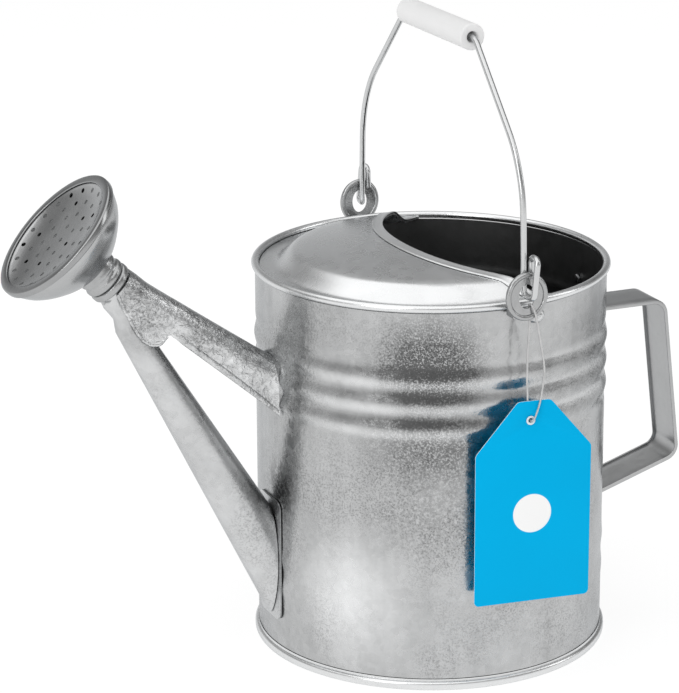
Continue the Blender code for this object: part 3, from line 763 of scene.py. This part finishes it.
def makeTank():
    heights = wallHeights()
    outside = [(wallRadius(z), z) for z in heights]
    inside = [(wallRadius(z) - 0.9, z) for z in reversed(heights)]
    wall = ready(
        "tankWall",
        moved(turned(ringed(outside + inside), tank["steps"]), onTank),
        (bodyZinc, innerZinc),
        "can",
        ["tank_wall"],
    )
    cutters = [spoutBore()]
    for y, z in rivetSpots:
        cutters.append(moved(rod((0.095, y * mm, z * mm), (0.112, y * mm, z * mm), 2.2 * mm), onTank))
    carve(wall, cutters)
    # inward faces take the darker inside zinc, painted shade inside the tank
    for face in wall.data.polygons:
        out = Vector((face.center.x - tankX, face.center.y, 0))
        face.material_index = 1 if face.normal.dot(out) < -0.5 * out.length else 0

    spine = [(wallRadius(z) + 0.3, z) for z in [9] + heights[1:-1] + [226]]
    outline = spine + [(radius + 0.9, z) for radius, z in reversed(spine)]
    bm = bmesh.new()
    face = bm.faces.new([bm.verts.new((radius * mm, 0, z * mm)) for radius, z in outline])
    bmesh.ops.spin(
        bm, geom=[face], cent=(0, 0, 0), axis=(0, 0, 1), angle=radians(2.6), steps=4
    )
    moved(bm, onTank @ Matrix.Rotation(radians(13), 4, "Z"))
    seam = ready("sideSeam", bm, (bodyZinc,), "can", ["side_seam"])
    soften(seam, 0.35)

    chime = (
        (104.3, 0.0), (106.4, 0.0), (107.1, 0.4), (107.5, 1.1), (107.6, 2.0), (107.55, 3.6),
        (107.2, 4.5), (106.5, 5.0), (105.9, 5.2), (105.7, 5.8), (105.6, 6.5), (104.3, 6.5),
    )
    spun("bottomChime", chime, tank["steps"], onTank, satinZinc, "can", "bottom_chime", 50)
    pan = (
        (0, 6.4), (60, 6.3), (85, 6.0), (90, 6.4), (104.0, 6.4), (104.0, 1.2), (103.1, 1.2),
        (103.1, 5.5), (90, 5.5), (85, 5.1), (60, 5.4), (0, 5.5),
    )
    spun(
        "bottomPan", pan, tank["steps"], onTank, satinZinc, "can", "bottom_pan", closed=False
    )

    roll = [
        (105 + size * cos(radians(a)), 232.7 + size * sin(radians(a)))
        for size, turns in ((2.3, range(-60, 241, 12)), (1.4, range(240, -61, -20)))
        for a in turns
    ]
    spun("rimBead", roll, tank["steps"], onTank, satinZinc, "can", "rim_bead", 50)
    frame["nodes"]["rim_wire"].data.materials.clear()
    frame["nodes"]["rim_wire"].data.materials.append(brightWire)


def soften(piece, width, segments=2):
    # rounds the piece's sharp edges
    edge = piece.modifiers.new("edges", "BEVEL")
    edge.width = width * mm
    edge.segments = segments
    edge.limit_method = "ANGLE"
    edge.angle_limit = radians(40)
    edge.profile = 0.5


makeTank()
print("tank made")

# cover over the front half, with a folded hem along its cut edge

cover = {
    "profile": (
        (102.4, 231.6), (97.5, 231.6), (94.0, 231.75), (92.3, 232.2), (90.5, 233.4),
        (87.0, 236.6), (84.0, 239.3), (82.3, 240.25), (80.0, 240.85), (74.0, 241.7),
        (60.0, 242.9), (45.0, 244.0), (30.0, 244.9), (15.0, 245.5),
    ),
    "centre": 59.5,
    "halfX": 80.0,
    "halfY": 100.0,
    "hem": 6.0,
}


def coverHeight(radius):
    points = cover["profile"]
    for (farR, farZ), (nearR, nearZ) in zip(points, points[1:]):
        if radius >= nearR:
            share = (radius - nearR) / (farR - nearR)
            return nearZ + (farZ - nearZ) * min(share, 1)
    return points[-1][1]


def openingCutter(margin):
    bm = bmesh.new()
    bmesh.ops.create_circle(bm, segments=160, radius=1, cap_ends=True)
    raised = bmesh.ops.extrude_face_region(bm, geom=bm.faces[:])["geom"]
    lifted = [item for item in raised if isinstance(item, bmesh.types.BMVert)]
    bmesh.ops.translate(bm, verts=lifted, vec=(0, 0, 1))
    size = Matrix.Diagonal(
        ((cover["halfX"] + margin) * mm, (cover["halfY"] + margin) * mm, 0.05, 1)
    )
    return moved(bm, onTank @ Matrix.Translation((cover["centre"] * mm, 0, 0.215)) @ size)


def makeCover():
    upper = list(cover["profile"])
    lower = [(radius, z - 0.9) for radius, z in reversed(upper)]
    dome = spun("cover", upper + lower, tank["steps"], onTank, satinZinc, "can", "cover", 20)
    carve(dome, [openingCutter(0)], 20)

    hemSection = (
        (0.3, 0.30), (-0.3, 0.45), (-0.55, 0.85), (-0.3, 1.25), (0.4, 1.40), (1.4, 1.20),
        (4.6, 1.05), (5.5, 1.10), (6.0, 0.75), (5.9, 0.32), (3.0, 0.30),
    )
    sections = []
    count = 120
    first = radians(107.25)
    for index in range(count + 1):
        a = first + (2 * pi - 2 * first) * index / count
        edge = Vector((cover["centre"] + cover["halfX"] * cos(a), cover["halfY"] * sin(a), 0))
        away = Vector((cos(a) / cover["halfX"], sin(a) / cover["halfY"], 0)).normalized()
        section = []
        for out, lift in hemSection:
            spot = edge + away * out
            radius = hypot(spot.x, spot.y)
            if radius > 102.2:
                spot *= 102.2 / radius
            spot.z = coverHeight(radius) + lift
            section.append(spot * mm)
        sections.append(section)
    ready(
        "coverHem",
        moved(lofted(sections), onTank),
        (hemZinc,),
        "can",
        ["cover_hem"],
        50,
    )


makeCover()
print("cover made")

# spout, its foot flange, brace and collar

rose = {
    "centre": Vector((-234, 0, 274)),
    "angle": radians(45),
    "steps": 128,
}
onRose = (
    onTank
    @ Matrix.Translation(rose["centre"] * mm)
    @ Matrix.Rotation(rose["angle"] - pi / 2, 4, "Y")
)


def rosePoint(behind, outward):
    axis = Vector((-cos(rose["angle"]), 0, sin(rose["angle"])))
    side = Vector((sin(rose["angle"]), 0, cos(rose["angle"])))
    return rose["centre"] - axis * behind + side * outward


def tiltedRing(centre, angle, radius):
    side = Vector((sin(angle), 0, cos(angle)))
    ring = []
    for index in range(spout["sides"]):
        a = 2 * pi * index / spout["sides"]
        ring.append((centre + side * radius * cos(a) + Vector((0, radius * sin(a), 0))) * mm)
    return ring


def makeSpout():
    sections = [spoutRing(distance) for distance in spout["rings"]]
    sections += [tiltedRing(*ring) for ring in spout["neck"]]
    sections += [tiltedRing(rosePoint(behind, 0), rose["angle"], 10.2) for behind in (49.6, 47.4)]
    tube = ready(
        "spoutTube",
        moved(lofted(sections, False), onTank),
        (spoutZinc,),
        "can",
        ["spout_tube"],
        50,
    )
    thick = tube.modifiers.new("sheet", "SOLIDIFY")
    thick.thickness = sheet
    thick.offset = -1
    carve(tube, [drum(spout["clear"], 0.11)], 50)

    flat = spout["flange"]
    half, low, high = flat["half"], flat["low"], flat["high"]
    outline = filleted(
        (
            (0, 0, high), (0, half, high), (0, half, low), (0, -half, low), (0, -half, high),
            (0, 0, high),
        ),
        [flat["corner"]] * 4,
        radians(12),
    )[:-1]
    sections = []
    for radius in flat["radii"]:
        section = []
        for point in outline:
            a = pi - point.y / 106.2
            section.append(Vector((radius * cos(a), radius * sin(a), point.z)) * mm)
        sections.append(section)
    flange = ready(
        "spoutFlange", moved(lofted(sections), onTank), (spoutZinc,), "can", ["spout_flange"]
    )
    carve(flange, [spoutBore()])


makeSpout()

brace = {
    # crown and foot of each U-shaped section, and half its width, in millimetres
    "stations": (
        ((-103.0, 187.0), (-103.0, 151.0), 17.0),
        ((-110.0, 190.5), (-112.5, 160.0), 13.5),
        ((-125.0, 200.9), (-138.2, 182.1), 12.0),
        ((-150.0, 218.4), (-161.5, 202.0), 11.3),
        ((-160.0, 225.5), (-170.5, 209.5), 11.0),
        ((-170.0, 232.5), (-177.0, 205.0), 10.9),
        ((-180.0, 239.8), (-186.0, 208.5), 11.1),
        ((-186.0, 245.2), (-195.0, 223.5), 11.9),
        ((-190.8, 249.1), (-201.4, 238.4), 12.2),
    ),
    "clear": 0.1063,
    "sheet": 1.0,
    "hem": 3.4,
    "hemStarts": -168,  # the hems fade in from here towards the tank
    "solderEnds": -171,
    "solder": 1.15,
}


def braceSection(crown, foot, half, fold):
    # a U-shaped outline, outside then inside, whose folded hems stand out by their fold
    crown = Vector((crown[0], 0, crown[1]))
    drop = Vector((foot[0], 0, foot[1])) - crown
    depth = drop.length
    down = drop / depth
    rounding = min(half, 0.8 * depth)
    hem, thick = brace["hem"], brace["sheet"]
    outer = []
    for step in range(13):
        a = pi / 2 * step / 12
        outer.append((half * sin(a), rounding * (1 - cos(a))))
    for fall, out in (
        (depth - hem - 1.0, 0.0), (depth - hem - 0.3, 0.05), (depth - hem, 0.5),
        (depth - hem + 0.6, 0.8), (depth - 1.2, 0.8), (depth - 0.4, 0.6), (depth, 0.0),
    ):
        outer.append((half + out * fold, max(fall, rounding + 0.01)))
    inner = [(half - thick, depth), (half - thick, rounding)]
    for step in range(11, -1, -1):
        a = pi / 2 * step / 12
        inner.append(((half - thick) * sin(a), thick + (rounding - thick) * (1 - cos(a))))
    right = outer[1:] + inner
    path = [outer[0]] + right
    mirrored = [(-y, fall) for y, fall in reversed(right[:-1])]
    return [(crown + down * fall + Vector((0, y, 0))) * mm for y, fall in path + mirrored]


def makeBrace():
    keys = [Vector((*crown, *foot)) for crown, foot, _ in brace["stations"]]
    widths = [half for _, _, half in brace["stations"]]
    crowns = eased([(key[0], 0, key[1]) for key in keys], 6)
    feet = eased([(key[2], 0, key[3]) for key in keys], 6)
    halves = eased([(half, 0, 0) for half in widths], 6)
    sections = []
    for c, f, h in zip(crowns, feet, halves):
        fold = max(0.0, min(1.0, (f.x - brace["hemStarts"]) / 8))
        sections.append(braceSection((c.x, c.z), (f.x, f.z), h.x, fold))
    piece = ready(
        "spoutBrace", moved(lofted(sections), onTank), (dippedZinc,), "can", ["spout_brace"], 50
    )
    for hand, name in ((-1, "braceSolderNear"), (1, "braceSolderFar")):
        line = [
            onTank @ (Vector((f.x, hand * (h.x - 0.9), f.z - 0.3)) * mm)
            for f, h in zip(feet, halves)
            if f.x < brace["solderEnds"]
        ]
        rings = []
        radius = brace["solder"] * mm
        for before, at, after in zip([line[0]] + line, line, line[1:] + [line[-1]]):
            up = Vector((0, 1, 0)).cross(after - before).normalized() * radius
            side = Vector((0, radius, 0))
            rings.append([at + side * cos(pi * i / 6) + up * sin(pi * i / 6) for i in range(12)])
        ready(name, lofted(rings), (dippedZinc,), "can", smooth=60)
    carve(piece, [drum(brace["clear"], 0.13)], 50)

    collar = (
        (9.6, -47.1), (12.2, -47.1), (12.9, -46.7), (13.3, -45.9), (13.3, -43.6), (12.9, -42.7),
        (12.2, -42.3), (10.9, -42.3), (10.9, -33.0), (9.6, -33.0),
    )
    spun("spoutCollar", collar, rose["steps"], onRose, fittingZinc, "can", "spout_collar", 50)


makeBrace()
print("spout and brace made")

# rose

rose.update(
    socket=(
        (11.2, -42.0), (11.2, -30.4), (12.2, -30.4), (12.15, -32.4), (12.5, -33.1),
        (12.75, -34.2), (12.5, -35.3), (12.1, -36.0), (12.1, -37.6), (12.6, -38.3), (13.1, -39.2),
        (13.1, -40.6), (12.7, -41.5), (12.2, -42.0),
    ),
    bowl=(
        (12.2, -30.0), (13.5, -29.8), (18.0, -28.3), (23.0, -25.4), (28.0, -21.6), (33.2, -16.9),
        (37.3, -12.0), (40.0, -7.0), (41.1, -4.0), (41.3, -2.5), (41.3, -0.3),
    ),
    face=(
        (0.0, -4.6), (8.0, -4.5), (18.0, -4.15), (24.0, -3.7), (29.0, -2.95), (32.5, -2.1),
        (35.3, -1.1), (36.5, -0.5), (37.4, -0.3), (40.1, -0.3),
    ),
    ring=(
        (37.2, 0.0), (37.2, 0.45), (37.35, 0.75), (37.7, 0.9), (41.5, 0.9), (42.1, 0.75),
        (42.5, 0.3), (42.6, -0.3), (42.6, -2.3), (42.45, -2.8), (42.0, -3.1), (41.6, -3.1),
        (41.6, 0.0),
    ),
    holes=((0, 1), (9.5, 6), (18.0, 11), (26.2, 16), (33.5, 20)),
    holeRadius=1.4,
    # ring and place of each hole that zinc hasn't filled
    open=((1, 4), (2, 5), (2, 10), (3, 1), (3, 4), (3, 6), (3, 14), (4, 1), (4, 2), (4, 6), (4, 12), (4, 17)),
)


def dishHeight(radius):
    points = rose["face"]
    for (nearR, nearZ), (farR, farZ) in zip(points, points[1:]):
        if radius <= farR:
            return nearZ + (farZ - nearZ) * (radius - nearR) / (farR - nearR)
    return points[-1][1]


def stud(bm, spot, radius, depth, sides):
    # adds a short upright cylinder, in millimetres
    bmesh.ops.create_cone(
        bm,
        cap_ends=True,
        segments=sides,
        radius1=radius * mm,
        radius2=radius * mm,
        depth=depth * mm,
        matrix=Matrix.Translation(spot * mm),
    )


def makeRose():
    spun(
        "roseSocket", rose["socket"], rose["steps"], onRose, fittingZinc, "rose", "rose_socket", 60
    )
    outer = [Vector((radius, 0, z)) for radius, z in rose["bowl"]]
    curve = [(point.x, point.z) for point in eased(outer, 3)]
    bowl = spun(
        "roseBowl", curve, rose["steps"], onRose, roseZinc, "rose", "rose_bowl", 50, closed=False
    )
    thick = bowl.modifiers.new("sheet", "SOLIDIFY")
    thick.thickness = sheet
    thick.offset = -1
    settle(bowl, 50)

    dish = eased([Vector((radius, 0, z)) for radius, z in rose["face"]], 3)
    upper = [(point.x, point.z) for point in dish]
    lower = [(radius, z - 0.9) for radius, z in reversed(upper)]
    face = spun("roseFace", upper + lower, 96, onRose, roseZinc, "rose", "rose_face", closed=False)
    drills = bmesh.new()
    fills = bmesh.new()
    for ring, (radius, count) in enumerate(rose["holes"]):
        for index in range(count):
            angle = 2 * pi * (index + 0.5) / count
            spot = Vector((radius * cos(angle), radius * sin(angle), 0))
            size = rose["holeRadius"]
            stud(drills, spot, size, 20, 16)
            if (ring, index) not in rose["open"]:
                sunk = 0.42 + 0.10 * sin(5 * angle + ring)
                stud(fills, spot + Vector((0, 0, dishHeight(radius) - sunk - 0.2)), size + 0.02, 0.4, 12)
    carve(face, [moved(drills, onRose)])
    ready("roseFills", moved(fills, onRose), (fillZinc,), "rose")
    spun("roseRing", rose["ring"], rose["steps"], onRose, ringZinc, "rose", "rose_ring", 50)


makeRose()
print("rose made")

# ears, bail and grip

ear = {
    "x": 5.0,
    "y": 117.5,
    "z": 240.5,
    "radius": 14.2,
    "squeeze": 0.92,
    "hole": (5.0, 7.2),
    "roll": 1.7,
    "lug": (6, 9.6, 4.8),
    "solder": (5.5, 4.0, 4.6),
    "solderAt": (13.2, -112.4, 227.2),
}
bail = {"wire": 1.8, "top": 375.4}


def makeEar(name, side, node):
    roll = ear["roll"]
    edge = [
        (ear["radius"] - roll + roll * cos(a), roll * sin(a))
        for a in [radians(150 - step * 15) for step in range(21)]
    ]
    section = [(3.0, -0.5), (3.0, 0.5), (ear["radius"] - 3.2, 0.5), *edge, (ear["radius"] - 3.2, -0.5)]
    disc = turned(ringed(section), 72)
    place = Matrix.Translation(Vector((ear["x"], side * ear["y"], ear["z"])) * mm)
    upright = Matrix.Rotation(pi / 2 * side, 4, "X")
    squeeze = Matrix.Diagonal((ear["squeeze"], 1, 1, 1))
    moved(disc, onTank @ place @ upright @ squeeze)
    piece = ready(name, disc, (fittingZinc,), "can", [node], 40)

    hole = bmesh.new()
    bmesh.ops.create_cone(hole, cap_ends=True, segments=48, radius1=1, radius2=1, depth=12 * mm)
    wide, tall = ear["hole"]
    shape = Matrix.Diagonal((wide * mm, tall * mm, 1, 1))
    moved(hole, onTank @ place @ upright @ shape)
    carve(piece, [hole], 40)

    lug = bmesh.new()
    bmesh.ops.create_cube(lug, size=1)
    middle = Vector((0, side * (107.7 + ear["lug"][1] / 2), 230.1)) * mm
    moved(lug, onTank @ Matrix.Translation(middle) @ Matrix.Diagonal((*(Vector(ear["lug"]) * mm), 1)))
    foot = ready(name + "Lug", lug, (fittingZinc,), "can")
    soften(foot, 0.8, 3)
    settle(foot)
    return piece


def bailHalf():
    rise = bail["top"] - ear["z"]
    arch = filleted(
        ((0, 0, rise), (0, 47.5, rise), (0, 111.2, 70.6), (0, 113.5, 4.5)), (12, 70), radians(3)
    )
    hook = filleted(
        (
            (0, 113.5, 4.5), (0.4, 113.9, -0.4), (2.0, 122.9, -0.4), (4.0, 122.9, 22.0),
            (4.2, 114.2, 22.0), (4.5, 114.0, 9.5),
        ),
        (2.6, 2.6, 3.6, 3.6),
        radians(9),
    )
    return arch[1:-1] + hook


def makeBail():
    pivot = onTank @ Matrix.Translation(Vector((ear["x"], 0, ear["z"])) * mm)
    half = bailHalf()
    other = [Vector((point.x, -point.y, point.z)) for point in half]
    path = [pivot @ (point * mm) for point in other[::-1] + half]
    bar("bailWire", path, bail["wire"] * mm, brightWire, "bail", ["bail_wire"], 7)


def makeEarSolder():
    # the lump that joins the near ear to the rim
    bm = bmesh.new()
    bmesh.ops.create_icosphere(bm, subdivisions=4, radius=1)
    size = Matrix.Diagonal((*(Vector(ear["solder"]) * mm), 1))
    moved(bm, onTank @ Matrix.Translation(Vector(ear["solderAt"]) * mm) @ size)
    ready("earSolder", bm, (dippedZinc,), "can", smooth=60)


makeEarSolder()
makeEar("earNear", -1, "ear_near")
makeEar("earFar", 1, "ear_far")
makeBail()

grip = {"half": 44.5, "radius": 7.8, "bore": 3.4}
gripLook = Look("whiteGrip")
gripMottle = gripLook.noise(7 * mm, 3, 0.5)
gripLook.finish(
    Base_Color=gripLook.tinted(0.80 + (gripMottle - 0.5) * 0.05, (1.0, 1.0, 1.0)),
    Roughness=0.33 + (gripMottle - 0.5) * 0.15,
    Normal=gripLook.relief(gripLook.noise(2 * mm, 3, 0.5), 0.06 * mm),
)


def makeGrip():
    half, radius, bore = grip["half"], grip["radius"], grip["bore"]
    outline = [(bore, -half + 0.4), (bore + 0.4, -half)]
    outline += [
        (radius - 1.0 + 1.0 * sin(radians(a)), -half + 1.0 - 1.0 * cos(radians(a))) for a in range(0, 91, 15)
    ]
    outline += [
        (radius - 1.0 + 1.0 * cos(radians(a)), half - 1.0 + 1.0 * sin(radians(a))) for a in range(0, 91, 15)
    ]
    outline += [(bore + 0.4, half), (bore, half - 0.4)]
    place = Matrix.Translation(Vector((ear["x"], 0, bail["top"])) * mm) @ Matrix.Rotation(pi / 2, 4, "X")
    spun("bailGrip", outline, 64, onTank @ place, gripLook.material, "grip", "bail_grip", 50)


makeGrip()
print("ears, bail and grip made")

# back handle and rivets

handle = {
    "half": 14.5,
    "depth": 2.6,
    "footDepth": 1.3,
    "web": 1.0,
    "face": 107.6,
}


def strapSection(point, heading, depth, hug):
    inward = Vector((heading.z, 0, -heading.x))
    half, web = handle["half"], handle["web"]
    lip = half - web
    outline = (
        (-half, 0.7), (-half + 0.2, 0.2), (-half + 0.7, 0), (-7, 0), (0, 0), (7, 0),
        (half - 0.7, 0), (half - 0.2, 0.2), (half, 0.7), (half, depth - 0.2), (half - 0.2, depth),
        (lip + 0.2, depth), (lip, depth - 0.2), (lip, web + 0.05), (lip - 0.3, web), (7, web),
        (0, web), (-7, web), (-lip + 0.3, web), (-lip, web + 0.05), (-lip, depth - 0.2),
        (-lip - 0.2, depth), (-half + 0.2, depth), (-half, depth - 0.2),
    )
    section = []
    for y, drop in outline:
        bend = hug * (105.2 - sqrt(105.2**2 - y**2))
        section.append((point + inward * drop + Vector((-bend, y, 0))) * mm)
    return section


def makeHandle():
    face = handle["face"]
    path = filleted(
        (
            (face, 0, 216.5), (face, 0, 193.7), (154.0, 0, 193.7), (166.0, 0, 90.0),
            (face, 0, 71.2), (face, 0, 47.5),
        ),
        (5, 10, 10, 5),
        radians(6),
    )
    sections = []
    last = len(path) - 1
    for index, point in enumerate(path):
        heading = (path[min(index + 1, last)] - path[max(index - 1, 0)]).normalized()
        onWall = max(0.0, min(1.0, 1 - (point.x - face) / 4))
        depth = handle["depth"] + (handle["footDepth"] - handle["depth"]) * onWall
        sections.append(strapSection(point, heading, depth, onWall))
    strap = ready(
        "backHandle", moved(lofted(sections), onTank), (strapZinc,), "can", ["back_handle"], 30
    )
    cutters = [
        moved(rod((0.100, y * mm, z * mm), (0.115, y * mm, z * mm), 2.2 * mm), onTank)
        for y, z in rivetSpots
    ]
    carve(strap, cutters, 30)

    rivet = (
        (0, 1.7), (1.2, 1.62), (2.3, 1.35), (3.2, 0.95), (3.9, 0.45), (4.2, 0.0), (1.9, 0.0),
        (1.9, -4.7), (3.1, -4.7), (3.1, -5.4), (2.6, -5.8), (0, -6.1),
    )
    for index, (y, z) in enumerate(rivetSpots):
        place = Matrix.Translation(Vector((face + 0.3, y, z)) * mm) @ Matrix.Rotation(pi / 2, 4, "Y")
        spun(
            f"handleRivet{index + 1}", rivet, 40, onTank @ place, brightWire,
            "can", f"handle_rivet_{index + 1}", 50, closed=False
        )


makeHandle()
print("handle made")

# hang tag card and eyelet

tag = {
    "turn": radians(-5.7),
    "centre": Vector((10.9, -117.35, 0)),
    "half": 35.5,
    "bottom": 55.5,
    "shoulder": 148.0,
    "top": 178.0,
    "topHalf": 10.0,
    "hole": Vector((-2.2, 0, 166.4)),
    "holeRadius": 2.2,
    "thickness": 0.6,
    "dot": Vector((-0.4, 0, 109.6)),
    "dotRadius": 11.7,
}
onTag = onTank @ Matrix.Translation(tag["centre"] * mm) @ Matrix.Rotation(tag["turn"], 4, "Z")


def tagLook():
    look = Look("blueCard")
    dot = onTag @ (tag["dot"] * mm)
    away = look.put("ShaderNodeVectorMath", {"operation": "DISTANCE"}, {0: look.place, 1: dot})
    far = Wire(look, away.outputs["Value"])
    edge = look.put(
        "ShaderNodeMapRange",
        {},
        {
            "Value": far,
            "From Min": (tag["dotRadius"] - 0.15) * mm,
            "From Max": (tag["dotRadius"] + 0.15) * mm,
            "To Min": 1.0,
            "To Max": 0.0,
        },
    )
    mottle = look.noise(20 * mm, 2, 0.5)
    blue = look.tinted(0.96 + mottle * 0.08, (0.0, 0.44, 0.81))
    colour = look.put(
        "ShaderNodeMix",
        {"data_type": "RGBA"},
        {0: Wire(look, edge.outputs[0]), 6: blue, 7: (0.95, 0.95, 0.95, 1)},
    )
    return look.finish(
        Base_Color=Wire(look, colour.outputs[2]),
        Roughness=0.55 + mottle * 0.06,
        Specular_IOR_Level=0.04,
        Normal=look.relief(look.noise(1.0 * mm, 3, 0.5), 0.02 * mm),
    )


edgeLook = Look("whiteCardEdge")
edgeLook.finish(
    Base_Color=edgeLook.tinted(0.80 + edgeLook.noise(2 * mm) * 0.1, (0.90, 0.97, 1.0)),
    Roughness=0.5,
)


def makeTag():
    half = tag["half"]
    corners = (
        (0, 0, tag["bottom"]),
        (half, 0, tag["bottom"]),
        (half, 0, tag["shoulder"]),
        (tag["topHalf"], 0, tag["top"]),
        (-tag["topHalf"], 0, tag["top"]),
        (-half, 0, tag["shoulder"]),
        (-half, 0, tag["bottom"]),
        (0, 0, tag["bottom"]),
    )
    outline = filleted(corners, (3, 4, 4, 4, 4, 3), radians(10))[:-1]
    bm = bmesh.new()
    front = [bm.verts.new(point * mm - Vector((0, tag["thickness"] / 2 * mm, 0))) for point in outline]
    bm.faces.new(front)
    raised = bmesh.ops.extrude_face_region(bm, geom=bm.faces[:])["geom"]
    lifted = [item for item in raised if isinstance(item, bmesh.types.BMVert)]
    bmesh.ops.translate(bm, verts=lifted, vec=(0, tag["thickness"] * mm, 0))
    card = ready(
        "tagCard", moved(bm, onTag), (tagLook(), edgeLook.material), "tag", ["tag_card"], 30
    )
    start = onTag @ ((tag["hole"] - Vector((0, 5, 0))) * mm)
    end = onTag @ ((tag["hole"] + Vector((0, 5, 0))) * mm)
    carve(card, [rod(start, end, tag["holeRadius"] * mm, 48)])
    soften(card, 0.12, 2)
    settle(card, 40)
    out = onTag.to_3x3() @ Vector((0, -1, 0))
    for face in card.data.polygons:
        face.material_index = 0 if abs(face.normal.dot(out)) > 0.9 else 1

    section = (
        (1.50, -0.75), (1.65, -0.9), (2.45, -0.9), (2.7, -0.75), (2.7, -0.6), (1.9, -0.6),
        (1.9, 0.6), (2.7, 0.6), (2.7, 0.75), (2.45, 0.9), (1.65, 0.9), (1.50, 0.75),
    )
    place = Matrix.Translation(tag["hole"] * mm) @ Matrix.Rotation(pi / 2, 4, "X")
    return spun(
        "tagEyelet", section, 48, onTag @ place, edgeLook.material, "tag", "tag_eyelet", 50
    )


eyeletPiece = makeTag()
stringPath[0] + Vector((0, 0, -0.004))
print("tag made")
